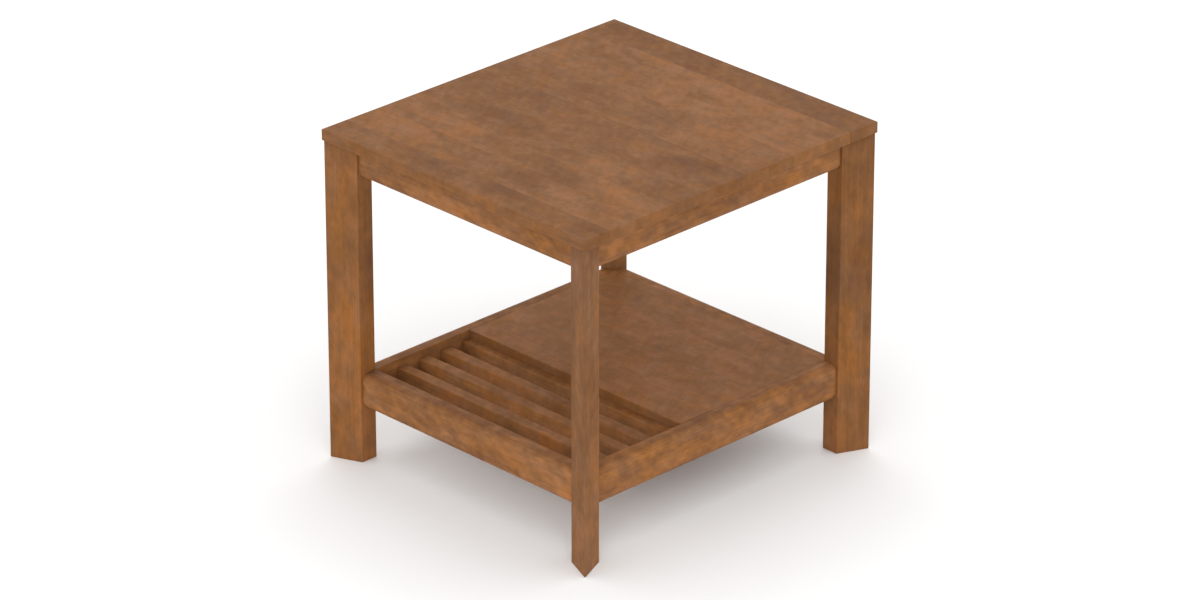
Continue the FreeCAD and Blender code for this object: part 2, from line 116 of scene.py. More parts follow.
# The same layout for the legs, with the height from the floor first and the place from left to
# right second. These patches are painted light and shade: those as wide as the leg make it lighter
# or darker at some heights, as the light falls along it, and those that are not as wide make one of
# its faces lighter or darker than the next, such as the inner faces below the rails, lit from the
# floor.
LEG_LIGHT_AND_SHADE = {
    "front_left": (
        (200, 0, 60, LEG_WIDE, 0.1), (330, 0, 70, LEG_WIDE, -0.1),
        (0, -227, 400, 20, 0.2), (30, -277, 60, 20, -0.12),
    ),
    "front_right": (
        (60, 0, 110, LEG_WIDE, 0.11), (280, 0, 90, LEG_WIDE, -0.06),
        (200, 257, 250, 12, 0.18), (350, 229, 120, 12, -0.06),
    ),
    "back_right": (
        (140, 0, 60, LEG_WIDE, 0.12), (290, 0, 70, LEG_WIDE, -0.14),
        (30, 240, 60, 25, 0.36),
    ),
    "back_left": ((90, 0, 70, LEG_WIDE, 0.1), (310, 0, 80, LEG_WIDE, -0.12)),
}

# The same layout for the lower rails, with the height from the floor second. The front rail is
# lighter than the others, and the right one is darker near the front. The tops of the front, back
# and left ones are darker than their faces: painted shade, for the shade of the table top on them.
RAIL_PATCHES_AND_SHADE = {
    "rail_front": ((0, 119, WHOLE, WHOLE, 0.08), (0, 148, WHOLE, 6, -0.15)),
    "rail_right": ((-253, 119, 300, WHOLE, -0.08),),
    "rail_back": ((0, 148, WHOLE, 0.3, -0.08),),
    "rail_left": ((-253, 148, 460, 0.3, -0.2),),
}

# The shelf board is lighter on the right near its front edge
SHELF_PATCHES = ((120, -30, 90, 90, 0.1),)

# Patch that makes the front face of the shelf board, along its front edge, darker than its top
SHELF_EDGE = (0, -56, 500, 0.4, -0.12)

# Painted light: a slat's front face, down in the gaps, is made lighter than its top, standing in
# for
# the light that reaches it there: how far that reaches in, in mm, and its strength
SLAT_FACE_LIGHT = (0.8, 0.1)

# Stretches of the top's seams where the glue line shows: place of the seam, start and end, in mm
GLUE_LINES = ((27, 15, 215), (-188, 32, 142))

# CAD nodes that keep their own shape, by the finish that they get
STEEL_NODES = ("top_clips", "clip_screws", "cleat_screws", "slat_screws", "shelf_screws")
DOWEL_NODES = ("apron_dowels", "rail_dowels")
BEARER_NODES = ("bearer_1", "bearer_2", "bearer_3", "bearer_4")
CLEAT_NODES = ("cleat_left", "cleat_right")


def linear(code):
    """Linear colour of an sRGB hex value."""
    shares = [int(code[start:start + 2], 16) / 255 for start in (1, 3, 5)]
    return tuple(s / 12.92 if s <= 0.04045 else ((s + 0.055) / 1.055) ** 2.4 for s in shares)


class EndTableSizes(bpy.types.PropertyGroup):
    """Sizes that shape the boards inside their boxes."""

    rail_round: FloatProperty(
        name="Rail rounding",
        description="Rounding of the outer long edges of aprons and rails",
        default=0.012, min=0.001, max=0.02, unit="LENGTH",
    )
    rail_ease: FloatProperty(
        name="Rail ease",
        description="Rounding of the inner long edges of aprons and rails",
        default=0.0003, min=0.0001, max=0.003, unit="LENGTH",
    )
    leg_side: FloatProperty(
        name="Leg side",
        description="Outer edge of a leg to its inner faces, each way",
        default=0.050, min=0.03, max=0.08, unit="LENGTH",
    )
    leg_face: FloatProperty(
        name="Leg face",
        description="Width of a leg's inner faces, which take the rails",
        default=0.029, min=0.025, max=0.05, unit="LENGTH",
    )
    leg_tip_ease: FloatProperty(
        name="Leg tip ease",
        description="Width of the rounding of a leg's outer edge, on each face",
        default=0.00196, min=0.0005, max=0.004, unit="LENGTH",
    )
    leg_ease: FloatProperty(
        name="Leg ease",
        description="Width of the rounding of a leg's side edges, on each face",
        default=0.001, min=0.0002, max=0.004, unit="LENGTH",
    )
    foot_ease: FloatProperty(
        name="Foot ease",
        description="Width of the rounding round a leg's foot",
        default=0.0006, min=0.0001, max=0.002, unit="LENGTH",
    )
    top_ease: FloatProperty(
        name="Top ease",
        description="Rounding of the outer edges of the top",
        default=0.0012, min=0.0002, max=0.004, unit="LENGTH",
    )
    patch_step: FloatProperty(
        name="Patch step",
        description="Spacing of the points that carry the top's patches, doubled in legs and shelf",
        default=0.012, min=0.005, max=0.1, unit="LENGTH",
    )
    shelf_ease: FloatProperty(
        name="Shelf ease",
        description="Rounding of the front edge of the shelf board",
        default=0.0012, min=0.0002, max=0.004, unit="LENGTH",
    )
    slat_ease: FloatProperty(
        name="Slat ease",
        description="Rounding of the long edges of a slat",
        default=0.0015, min=0.0002, max=0.004, unit="LENGTH",
    )


class EndTableFinish(bpy.types.PropertyGroup):
    """Colours and sheen of the wood and the fittings."""

    stain_dark: FloatVectorProperty(
        name="Dark stain",
        description="Wood where the stain soaked in most",
        default=linear("#704A31"), subtype="COLOR", min=0.0, max=1.0,
    )
    stain_middle: FloatVectorProperty(
        name="Middle stain",
        description="Wood with an even coat of stain",
        default=linear("#875B36"), subtype="COLOR", min=0.0, max=1.0,
    )
    stain_light: FloatVectorProperty(
        name="Light stain",
        description="Wood where the stain was wiped thin",
        default=linear("#A36A3C"), subtype="COLOR", min=0.0, max=1.0,
    )
    sheen: FloatProperty(
        name="Sheen",
        description="Strength of the lacquer's reflection",
        default=0.07, min=0.0, max=1.0, subtype="FACTOR",
    )
    beech_light: FloatVectorProperty(
        name="Light beech",
        description="Pale wood of the dowels",
        default=linear("#D3AE80"), subtype="COLOR", min=0.0, max=1.0,
    )
    beech_dark: FloatVectorProperty(
        name="Dark beech",
        description="Flecks in the wood of the dowels",
        default=linear("#A97F52"), subtype="COLOR", min=0.0, max=1.0,
    )
    zinc: FloatVectorProperty(
        name="Zinc",
        description="Plating of the screws and clips",
        default=linear("#BFC2C6"), subtype="COLOR", min=0.0, max=1.0,
    )


class EndTableStage(bpy.types.PropertyGroup):
    """Camera, floor and light."""

    camera_turn: FloatProperty(
        name="Camera turn",
        description="Turn of the camera round the table, from straight in front",
        default=math.radians(45.563), subtype="ANGLE",
    )
    camera_rise: FloatProperty(
        name="Camera rise",
        description="Height of the camera above the horizon",
        default=math.radians(25.172), subtype="ANGLE",
    )
    camera_distance: FloatProperty(
        name="Camera distance",
        description="Camera to the point that it looks at",
        default=9.066, min=1.0, unit="LENGTH",
    )
    camera_lens: FloatProperty(
        name="Camera lens",
        description="Focal length on a 36 mm wide sensor",
        default=180.67, min=10.0, unit="CAMERA",
    )
    aim_height: FloatProperty(
        name="Aim height",
        description="Height of the point that the camera looks at",
        default=0.25621, min=0.0, unit="LENGTH",
    )
    floor_size: FloatProperty(
        name="Floor size",
        description="Width of the studio floor, which is square",
        default=16.0, min=1.0, unit="LENGTH",
    )
    floor_drop: FloatProperty(
        name="Floor drop",
        description="Gap between the studio floor and the feet, which keeps their faces apart",
        default=0.0002, min=0.0, unit="LENGTH",
    )
    floor_colour: FloatVectorProperty(
        name="Floor",
        description="Colour of the studio floor",
        default=linear("#F4F4F4"), subtype="COLOR", min=0.0, max=1.0,
    )
    dome_colour: FloatVectorProperty(
        name="Dome colour",
        description="Colour of the even light from all round",
        default=linear("#FFFFFF"), subtype="COLOR", min=0.0, max=1.0,
    )
    dome_strength: FloatProperty(
        name="Dome",
        description="Strength of the even light from all round",
        default=1.13, min=0.0,
    )
    front_power: FloatProperty(
        name="Front light",
        description="Power of the soft light behind the camera",
        default=60.0, min=0.0, unit="POWER",
    )
    back_power: FloatProperty(
        name="Back light",
        description="Power of the soft light high up behind the table, to whiten the floor there",
        default=20.0, min=0.0, unit="POWER",
    )
    back_rise: FloatProperty(
        name="Back light rise",
        description="Height of the light behind the table above the horizon",
        default=math.radians(62), subtype="ANGLE",
    )
    light_distance: FloatProperty(
        name="Light distance",
        description="Each soft light to the point that the camera looks at",
        default=5.0, min=1.0, unit="LENGTH",
    )
    light_size: FloatProperty(
        name="Light size",
        description="Width of each soft light, which is round",
        default=3.0, min=0.1, unit="LENGTH",
    )


def add_node(tree, kind, inputs=None, stops=None, **settings):
    """Adds a node with its settings, and sets or links its inputs by name or number."""
    made = tree.nodes.new(kind)
    for name, setting in settings.items():
        setattr(made, name, setting)
    for name, given in (inputs or {}).items():
        if isinstance(given, bpy.types.NodeSocket):
            tree.links.new(given, made.inputs[name])
        else:
            made.inputs[name].default_value = given
    for number, (place, colour) in enumerate(stops or []):
        ends = made.color_ramp.elements
        stop = ends[number] if number < len(ends) else ends.new(place)
        stop.position = place
        stop.color = (*colour, 1.0)
    return made


def new_material(name):
    """Empty node material."""
    material = bpy.data.materials.new(name)
    material.use_nodes = True
    material.node_tree.nodes.clear()
    return material


def metres(*millimetres):
    """Sizes of a pattern's marks, given in millimetres, in metres."""
    return tuple(size / MM for size in millimetres)


def stained_maple(name, finish, turn=None):
    """Hard maple, sanded, wiped with brown stain and lacquered satin, with painted shade in its
    inside corners.

    Without a turn it reads the grain that each board carries. With one it reads the CAD node's own
    place, turned so that the grain runs along the piece.
    """
    material = new_material(name)
    tree = material.node_tree
    if turn is None:
        grain = add_node(tree, "ShaderNodeAttribute", attribute_name="grain").outputs["Vector"]
    else:
        place = add_node(tree, "ShaderNodeTexCoord").outputs["Object"]
        grain = add_node(
            tree, "ShaderNodeMapping", {"Vector": place, "Rotation": (0, 0, turn)}
        ).outputs["Vector"]

    # Maple takes stain unevenly, so the eye sees soft clouds drawn out along the grain with fine
    # growth streaks, and in them rounder mottling, a faint ripple that slants across the grain, and
    # hairlines. Each layer has its share, its marks' size along, across and through the grain in
    # millimetres, and its slant.
    clouds = [
        (0.24, (150, 75, 75), 0.0),
        (0.22, (80, 38, 38), 0.0),
        (0.02, (220, 4, 7), 0.0),
    ]
    mottling = [
        (0.18, (32, 22, 22), 0.0),
        (0.16, (14, 12, 12), 0.0),
        (0.12, (7, 6, 6), 0.0),
        (0.12, (9, 36, 36), 0.6),
        (0.20, (70, 0.9, 1.8), 0.0),
    ]
    middle = 0.5
    figure = middle
    strengths = (1.0, 1.0)
    if turn is None:
        # The patch adds the board's patches of stain, and of painted light and shade, to the figure
        patch = add_node(tree, "ShaderNodeAttribute", attribute_name="patch").outputs["Fac"]
        figure = add_node(
            tree, "ShaderNodeMath", {0: patch, 1: middle}, operation="ADD"
        ).outputs[0]
        stain = add_node(tree, "ShaderNodeAttribute", attribute_name="stain").outputs["Vector"]
        stain = add_node(tree, "ShaderNodeSeparateXYZ", {"Vector": stain}).outputs
        strengths = (stain["X"], stain["Y"])
    for layers, strength in zip((clouds, mottling), strengths):
        total = -sum(share for share, millimetres, slant in layers) / 2
        for share, millimetres, slant in layers:
            place = add_node(
                tree, "ShaderNodeMapping",
                {"Vector": grain, "Rotation": (0, 0, slant), "Scale": metres(*millimetres)},
                vector_type="TEXTURE",
            ).outputs["Vector"]
            marks = add_node(
                tree, "ShaderNodeTexNoise", {"Vector": place, "Scale": 1.0, "Detail": 0.0}
            ).outputs[0]
            total = add_node(
                tree, "ShaderNodeMath", {0: marks, 1: share, 2: total}, operation="MULTIPLY_ADD"
            ).outputs[0]
        figure = add_node(
            tree, "ShaderNodeMath", {0: total, 1: strength, 2: figure}, operation="MULTIPLY_ADD"
        ).outputs[0]
    colour = add_node(
        tree, "ShaderNodeValToRGB", {"Fac": figure},
        stops=[
            (0.15, finish.stain_dark),
            (middle, finish.stain_middle),
            (0.85, finish.stain_light),
        ],
    ).outputs["Color"]

    # Wiping leaves some patches warmer than others, in other places than the clouds
    place = add_node(
        tree, "ShaderNodeMapping",
        {"Vector": grain, "Location": (3.1, 0, 0), "Scale": metres(40, 26, 26)},
        vector_type="TEXTURE",
    ).outputs["Vector"]
    marks = add_node(
        tree, "ShaderNodeTexNoise", {"Vector": place, "Scale": 1.0, "Detail": 1.0}
    ).outputs[0]
    warmth = add_node(
        tree, "ShaderNodeMapRange",
        {"Value": marks, "From Min": 0.3, "From Max": 0.7, "To Min": 0.96, "To Max": 1.04},
    ).outputs[0]
    colour = add_node(
        tree, "ShaderNodeHueSaturation", {"Saturation": warmth, "Color": colour}
    ).outputs["Color"]

    # Maple's pores are too fine to show, so they are drawn several times as wide as real ones
    place = add_node(
        tree, "ShaderNodeMapping", {"Vector": grain, "Scale": metres(5, 0.5, 0.5)},
        vector_type="TEXTURE",
    ).outputs["Vector"]
    pores = add_node(
        tree, "ShaderNodeTexNoise", {"Vector": place, "Scale": 1.0, "Detail": 1.0}
    ).outputs[0]
    shade = add_node(
        tree, "ShaderNodeMapRange",
        {"Value": pores, "From Min": 0.25, "From Max": 0.5, "To Min": 0.78, "To Max": 1.0},
    ).outputs[0]

    # Painted shade: the wood is darkened in inside corners, within 12 mm of other surfaces,
    # standing in for the shade that falls there
    painted_corner_shade = add_node(
        tree, "ShaderNodeAmbientOcclusion", {"Distance": 0.012}, samples=8
    ).outputs["AO"]
    painted_corner_shade = add_node(
        tree, "ShaderNodeMapRange",
        {"Value": painted_corner_shade, "From Min": 0.4, "From Max": 1.0, "To Min": 0.92, "To Max": 1.0},
    ).outputs[0]
    shade = add_node(tree, "ShaderNodeMath", {0: shade, 1: painted_corner_shade}, operation="MULTIPLY").outputs[0]
    if turn is None:
        joint = add_node(tree, "ShaderNodeAttribute", attribute_name="joint").outputs["Vector"]
        parts = add_node(tree, "ShaderNodeSeparateXYZ", {"Vector": joint}).outputs
        nearest = add_node(
            tree, "ShaderNodeMath", {0: parts["X"], 1: parts["Y"]}, operation="MINIMUM"
        ).outputs[0]

        # A glue line shows as a hair of darker wood along parts of a seam
        line = add_node(
            tree, "ShaderNodeMapRange",
            {"Value": nearest, "From Min": 0.0005, "From Max": 0.002, "To Min": 0.2, "To Max": 0.0},
        ).outputs[0]
        line = add_node(
            tree, "ShaderNodeMath", {0: line, 1: parts["Z"]}, operation="MULTIPLY"
        ).outputs[0]
        line = add_node(tree, "ShaderNodeMath", {0: 1.0, 1: line}, operation="SUBTRACT").outputs[0]
        shade = add_node(
            tree, "ShaderNodeMath", {0: shade, 1: line}, operation="MULTIPLY"
        ).outputs[0]
        shade = add_node(
            tree, "ShaderNodeMath", {0: shade, 1: stain["Z"]}, operation="MULTIPLY"
        ).outputs[0]
    colour = add_node(
        tree, "ShaderNodeVectorMath", {0: colour, "Scale": shade}, operation="SCALE"
    ).outputs[0]

    # Satin lacquer lies a little flatter where the wood drank less
    roughness = add_node(
        tree, "ShaderNodeMapRange",
        {"Value": figure, "From Min": 0.35, "From Max": 0.65, "To Min": 0.56, "To Max": 0.44},
    ).outputs[0]
    bump = add_node(
        tree, "ShaderNodeBump", {"Strength": 0.25, "Distance": 0.0002, "Height": pores}
    ).outputs[0]
    shader = add_node(
        tree, "ShaderNodeBsdfPrincipled",
        {
            "Base Color": colour,
            "Roughness": roughness,
            "Specular IOR Level": finish.sheen,
            "Normal": bump,
        },
    ).outputs[0]
    add_node(tree, "ShaderNodeOutputMaterial", {"Surface": shader})
    return material


def turned_beech(name, finish):
    """Beech, turned to a rod and left bare, so pale with short darker flecks and no gloss."""
    material = new_material(name)
    tree = material.node_tree
    place = add_node(tree, "ShaderNodeTexCoord").outputs["Object"]
    place = add_node(
        tree, "ShaderNodeMapping", {"Vector": place, "Scale": metres(3, 3, 1)},
        vector_type="TEXTURE",
    ).outputs["Vector"]
    flecks = add_node(
        tree, "ShaderNodeTexNoise", {"Vector": place, "Scale": 1.0, "Detail": 3.0}
    ).outputs[0]
    colour = add_node(
        tree, "ShaderNodeValToRGB", {"Fac": flecks},
        stops=[(0.35, finish.beech_dark), (0.55, finish.beech_light)],
    ).outputs["Color"]
    bump = add_node(
        tree, "ShaderNodeBump", {"Strength": 0.2, "Distance": 0.0002, "Height": flecks}
    ).outputs[0]
    shader = add_node(
        tree, "ShaderNodeBsdfPrincipled",
        {"Base Color": colour, "Roughness": 0.7, "Specular IOR Level": 0.3, "Normal": bump},
    ).outputs[0]
    add_node(tree, "ShaderNodeOutputMaterial", {"Surface": shader})
    return material


def zinc_plated_steel(name, finish):
    """Pressed steel, zinc plated: a grey metal with a soft cloudy gloss from the plating bath."""
    material = new_material(name)
    tree = material.node_tree
    place = add_node(tree, "ShaderNodeTexCoord").outputs["Object"]
    place = add_node(
        tree, "ShaderNodeMapping", {"Vector": place, "Scale": metres(4, 4, 4)},
        vector_type="TEXTURE",
    ).outputs["Vector"]
    clouds = add_node(
        tree, "ShaderNodeTexNoise", {"Vector": place, "Scale": 1.0, "Detail": 3.0}
    ).outputs[0]
    dull = tuple(DULL_SHARE * share for share in finish.zinc)
    colour = add_node(
        tree, "ShaderNodeValToRGB", {"Fac": clouds}, stops=[(0.35, dull), (0.65, finish.zinc)]
    ).outputs["Color"]
    roughness = add_node(
        tree, "ShaderNodeMapRange",
        {"Value": clouds, "From Min": 0.3, "From Max": 0.7, "To Min": 0.42, "To Max": 0.28},
    ).outputs[0]
    shader = add_node(
        tree, "ShaderNodeBsdfPrincipled",
        {"Base Color": colour, "Metallic": 1.0, "Roughness": roughness},
    ).outputs[0]
    add_node(tree, "ShaderNodeOutputMaterial", {"Surface": shader})
    return material


def painted_floor(name, stage):
    """Studio floor, painted matt white, with a trace of roller texture."""
    material = new_material(name)
    tree = material.node_tree
    place = add_node(tree, "ShaderNodeTexCoord").outputs["Object"]
    place = add_node(
        tree, "ShaderNodeMapping", {"Vector": place, "Scale": metres(4, 4, 4)},
        vector_type="TEXTURE",
    ).outputs["Vector"]
    stipple = add_node(
        tree, "ShaderNodeTexNoise", {"Vector": place, "Scale": 1.0}
    ).outputs[0]
    bump = add_node(
        tree, "ShaderNodeBump", {"Strength": 0.05, "Distance": 0.0002, "Height": stipple}
    ).outputs[0]
    shader = add_node(
        tree, "ShaderNodeBsdfPrincipled",
        {
            "Base Color": (*stage.floor_colour, 1.0),
            "Roughness": 0.9,
            "Specular IOR Level": 0.1,
            "Normal": bump,
        },
    ).outputs[0]
    add_node(tree, "ShaderNodeOutputMaterial", {"Surface": shader})
    return material


def middle_of(node):
    """Middle of a CAD node's box."""
    low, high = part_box(node)
    return (low + high) / 2


def start_board(node):
    """Block the size of a CAD node, at its place, with nothing else selected."""
    low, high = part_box(node)
    bpy.ops.object.select_all(action="DESELECT")
    bpy.ops.mesh.primitive_cube_add(size=1, location=middle_of(node), scale=high - low)
    board = bpy.context.object
    board.name = node + "_wood"
    bpy.ops.object.transform_apply(location=True, rotation=True, scale=True)
    return board


def select_edges(board, chosen):
    """Goes into edit mode with only the edges selected that a test of their two ends picks."""
    bpy.ops.object.mode_set(mode="EDIT")
    bpy.ops.mesh.select_mode(type="EDGE")
    bpy.ops.mesh.select_all(action="DESELECT")
    mesh = bmesh.from_edit_mesh(board.data)
    picked = 0
    for edge in mesh.edges:
        start, end = (corner.co for corner in edge.verts)
        if chosen(start, end):
            edge.select_set(True)
            picked += 1
    mesh.select_flush_mode()
    bmesh.update_edit_mesh(board.data)
    if not picked:
        raise RuntimeError("no edge of %s was found" % board.name)


def round_edges(board, width, segments, chosen):
    """Rounds the edges that a test of their two ends picks."""
    select_edges(board, chosen)
    bpy.ops.mesh.bevel(offset_type="OFFSET", offset=width, segments=segments, profile=0.5)
    bpy.ops.object.mode_set(mode="OBJECT")


def cut_board(board, axis_name, step):
    """Cuts a block along one axis into equal lengths of a step at most."""
    axis = AXES.index(axis_name)
    span = board.dimensions[axis]
    select_edges(board, lambda start, end: abs(start[axis] - end[axis]) > SAME_PLACE)
    bpy.ops.mesh.subdivide(number_cuts=math.ceil(span / step) - 1)
    bpy.ops.object.mode_set(mode="OBJECT")


def where_sides_meet(node, names):
    """Test for a board's edges, each named by the two sides that meet there, such as -y+z."""
    low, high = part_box(node)

    def on_side(point, side):
        axis = AXES.index(side[1])
        limit = low[axis] if side[0] == "-" else high[axis]
        return abs(point[axis] - limit) < SAME_PLACE

    def chosen(start, end):
        for name in names:
            sides = (name[:2], name[2:])
            if all(on_side(point, side) for point in (start, end) for side in sides):
                return True
        return False

    return chosen


def upright_at(x, y):
    """Test for an upright edge at a place on the floor plan."""
    spot = Vector((x, y))
    return lambda start, end: max((start.xy - spot).length, (end.xy - spot).length) < SAME_PLACE


def copy_board(board, source, target, turn=0.0):
    """Copy of a board for another CAD node, turned about the upright axis."""
    bpy.ops.object.select_all(action="DESELECT")
    board.select_set(True)
    bpy.context.view_layer.objects.active = board
    bpy.ops.object.duplicate(linked=False)
    made = bpy.context.object
    made.name = target + "_wood"
    made.rotation_euler.z = turn
    made.location = middle_of(target) - Matrix.Rotation(turn, 3, "Z") @ middle_of(source)
    bpy.ops.object.transform_apply(location=True, rotation=True, scale=True)
    return made


def lay_grain(board, node, figure, tone, patches, lines, depth):
    """Gives a board its grain, along its longest side, and its stain, patches and joints.

    The grain is each point's place along, across and through the board, shifted so that no two
    boards are cut from the same stretch of wood. The stain holds the strengths of the figure, and
    the tone. The joint holds the distances to the board's low and high sides across the grain, and
    whether the glue line of the nearer one shows. The patch is the board's own depth of stain and
    all its patches, added up: patches of stain, and on legs, rails and slats also of painted light
    and shade.
    """
    clouds, mottling, stretch = figure
    low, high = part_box(node)
    spans = high - low

    # Sides that are the same to a tenth of a millimetre stay in the order of the axes
    order = sorted(range(3), key=lambda axis: -round(spans[axis], 4))
    chance = random.Random(node)
    shift = [chance.uniform(-GRAIN_SHIFT, GRAIN_SHIFT) for axis in range(3)]
    grain = []
    joint = []
    patch = []
    for corner in board.data.vertices:
        place = [corner.co[axis] + shift[axis] for axis in order]
        grain += [place[0] / stretch, place[1], place[2]]
        along, across = (corner.co[axis] for axis in order[:2])
        before = across - low[order[1]]
        after = high[order[1]] - across
        seam = low[order[1]] if before < after else high[order[1]]
        shown = [
            round(seam * MM) == spot and start <= along * MM <= end
            for spot, start, end in lines
        ]
        joint += [before, after, float(any(shown))]
        here = depth
        for x, y, length, width, strength in patches:
            reach = ((along * MM - x) / length) ** 2 + ((across * MM - y) / width) ** 2
            here += strength * math.exp(-reach)
        patch.append(here)
    stain = (clouds, mottling, tone) * len(board.data.vertices)
    for name, values in (("grain", grain), ("joint", joint), ("stain", stain)):
        layer = board.data.attributes.new(name, "FLOAT_VECTOR", "POINT")
        layer.data.foreach_set("vector", values)
    layer = board.data.attributes.new("patch", "FLOAT", "POINT")
    layer.data.foreach_set("value", patch)


def dress(board, node, figure, tone, patches=(), lines=(), depth=0.0):
    """Smooths a board, stains it, lays on its patches, among them painted light and shade, and sets
    it in the place of its CAD node.
    """
    board.data.name = board.name
    bpy.ops.object.select_all(action="DESELECT")
    board.select_set(True)
    bpy.context.view_layer.objects.active = board
    bpy.ops.object.shade_smooth_by_angle(angle=SMOOTH_ANGLE)
    board.modifiers.new("face_normals", "WEIGHTED_NORMAL").keep_sharp = True
    bpy.ops.object.modifier_apply(modifier="face_normals")
    lay_grain(board, node, figure, tone, patches, lines, depth)
    board.data.materials.clear()
    board.data.materials.append(bpy.data.materials["stained_maple"])
    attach(board, "root")
    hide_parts(node)


class END_TABLE_OT_finishes(bpy.types.Operator):
    """Make the wood and metal finishes, and give the fittings theirs"""

    bl_idname = "end_table.finishes"
    bl_label = "Finishes"

    def execute(self, context):
        finish = context.scene.end_table_finish
        stained_maple("stained_maple", finish)
        nodes_by_material = {
            stained_maple("stained_maple_bearers", finish, 0.0): BEARER_NODES,
            stained_maple("stained_maple_cleats", finish, math.pi / 2): CLEAT_NODES,
            turned_beech("turned_beech", finish): DOWEL_NODES,
            zinc_plated_steel("zinc_plated_steel", finish): STEEL_NODES,
        }
        for material, names in nodes_by_material.items():
            for name in names:
                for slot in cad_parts[name].material_slots:
                    slot.material = material
        return {"FINISHED"}


class END_TABLE_OT_legs(bpy.types.Operator):
    """Shape one leg of kite section and copy it to the other corners"""

    bl_idname = "end_table.legs"
    bl_label = "Legs"

    def execute(self, context):
        sizes = context.scene.end_table_sizes
        first = "leg_" + CORNERS[0]
        low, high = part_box(first)
        leg = start_board(first)
        cut_board(leg, "z", 2 * sizes.patch_step)

        # The block's outer edge goes out to the leg's corner, then its side edges are drawn in
        outer = Vector((high.x - sizes.leg_side, high.y - sizes.leg_side))
        flank = sizes.leg_side - sizes.leg_face
        moves = [
            ((low.x, low.y), (outer.x - low.x, outer.y - low.y)),
            ((low.x, high.y), (outer.x + flank - low.x, 0)),
            ((high.x, low.y), (0, outer.y + flank - low.y)),
        ]
        for spot, move in moves:
            select_edges(leg, upright_at(*spot))
            bpy.ops.transform.translate(value=(*move, 0))
            bpy.ops.object.mode_set(mode="OBJECT")
        round_edges(leg, sizes.leg_tip_ease, EASE_STEPS, upright_at(*outer))
        flanks = [(outer.x + flank, high.y), (high.x, outer.y + flank)]
        for spot in flanks:
            round_edges(leg, sizes.leg_ease, EASE_STEPS, upright_at(*spot))
        round_edges(
            leg, sizes.foot_ease, FOOT_STEPS,
            lambda start, end: max(start.z, end.z) < SAME_PLACE,
        )
        boards = {first: leg}
        for number, corner in enumerate(CORNERS[1:], start=1):
            node = "leg_" + corner
            boards[node] = copy_board(leg, first, node, number * math.pi / 2)
        for corner, tone in zip(CORNERS, LEG_TONES):
            node = "leg_" + corner
            # Each leg gets its patches of painted light and shade
            dress(boards[node], node, LEG_FIGURE, tone, LEG_LIGHT_AND_SHADE[corner])
        return {"FINISHED"}


class END_TABLE_OT_rails(bpy.types.Operator):
    """Shape the aprons and the lower rails, with their outer edges rounded"""

    bl_idname = "end_table.rails"
    bl_label = "Aprons and rails"

    def execute(self, context):
        sizes = context.scene.end_table_sizes
        sides = (("front", "back", "-y", "+y"), ("right", "left", "+x", "-x"))
        boards = {}
        for kind, ends in (("apron", "-"), ("rail", "-+")):
            for side, opposite, outer, inner in sides:
                node = kind + "_" + side
                board = start_board(node)
                rounded = where_sides_meet(node, [outer + end + "z" for end in ends])
                eased = where_sides_meet(node, [inner + end + "z" for end in ends])
                round_edges(board, sizes.rail_round, ROUND_STEPS, rounded)
                round_edges(board, sizes.rail_ease, FINE_EASE_STEPS, eased)
                other = kind + "_" + opposite
                boards[node] = board
                boards[other] = copy_board(board, node, other, math.pi)
        for node, board in boards.items():
            # The rails' patches include painted shade on their tops
            dress(board, node, RAIL_FIGURE, RAIL_TONE, RAIL_PATCHES_AND_SHADE.get(node, ()))
        return {"FINISHED"}


class END_TABLE_OT_top(bpy.types.Operator):
    """Shape the staves of the top, eased round its outer edge"""

    bl_idname = "end_table.top"
    bl_label = "Top"

    def execute(self, context):
        sizes = context.scene.end_table_sizes
        last = len(TOP_STAVES)
        for number, depth in enumerate(TOP_STAVES, start=1):
            node = "top_stave_%d" % number
            edges = ["-x-z", "-x+z", "+x-z", "+x+z"]
            if number == 1:
                edges += ["-y-z", "-y+z", "-x-y", "+x-y"]
            if number == last:
                edges += ["+y-z", "+y+z", "-x+y", "+x+y"]
            board = start_board(node)
            cut_board(board, "x", sizes.patch_step)
            cut_board(board, "y", sizes.patch_step)
            round_edges(board, sizes.top_ease, EASE_STEPS, where_sides_meet(node, edges))
            patches = TOP_PATCHES.get(number, ())
            dress(board, node, TOP_FIGURE, TOP_TONE, patches, GLUE_LINES, depth)
        return {"FINISHED"}


class END_TABLE_OT_shelf(bpy.types.Operator):
    """Shape the staves of the shelf board, eased along its front edge"""

    bl_idname = "end_table.shelf"
    bl_label = "Shelf board"

    def execute(self, context):
        sizes = context.scene.end_table_sizes
        for number, tone in enumerate(SHELF_TONES, start=1):
            node = "shelf_stave_%d" % number
            board = start_board(node)
            cut_board(board, "x", 2 * sizes.patch_step)
            patches = SHELF_PATCHES
            if number == 1:
                front_edge = where_sides_meet(node, ["-y+z"])
                round_edges(board, sizes.shelf_ease, FINE_EASE_STEPS, front_edge)
                patches += (SHELF_EDGE,)
            dress(board, node, SHELF_FIGURE, tone, patches)
        return {"FINISHED"}


class END_TABLE_OT_slats(bpy.types.Operator):
    """Shape one slat with eased edges and copy it along the lower frame"""

    bl_idname = "end_table.slats"
    bl_label = "Slats"

    def execute(self, context):
        sizes = context.scene.end_table_sizes
        first = "slat_1"
        slat = start_board(first)
        edges = ["-y-z", "-y+z", "+y-z", "+y+z"]
        round_edges(slat, sizes.slat_ease, EASE_STEPS, where_sides_meet(first, edges))
        boards = {first: slat}
        for number in range(2, len(SLAT_TONES) + 1):
            node = "slat_%d" % number
            boards[node] = copy_board(slat, first, node)
        for tone, (node, board) in zip(SLAT_TONES, boards.items()):
            low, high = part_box(node)
            # Painted light on the front face of the slat
            painted_face_light = (0, low.y * MM, WHOLE, *SLAT_FACE_LIGHT)
            dress(board, node, SLAT_FIGURE, tone, (painted_face_light,))
        return {"FINISHED"}


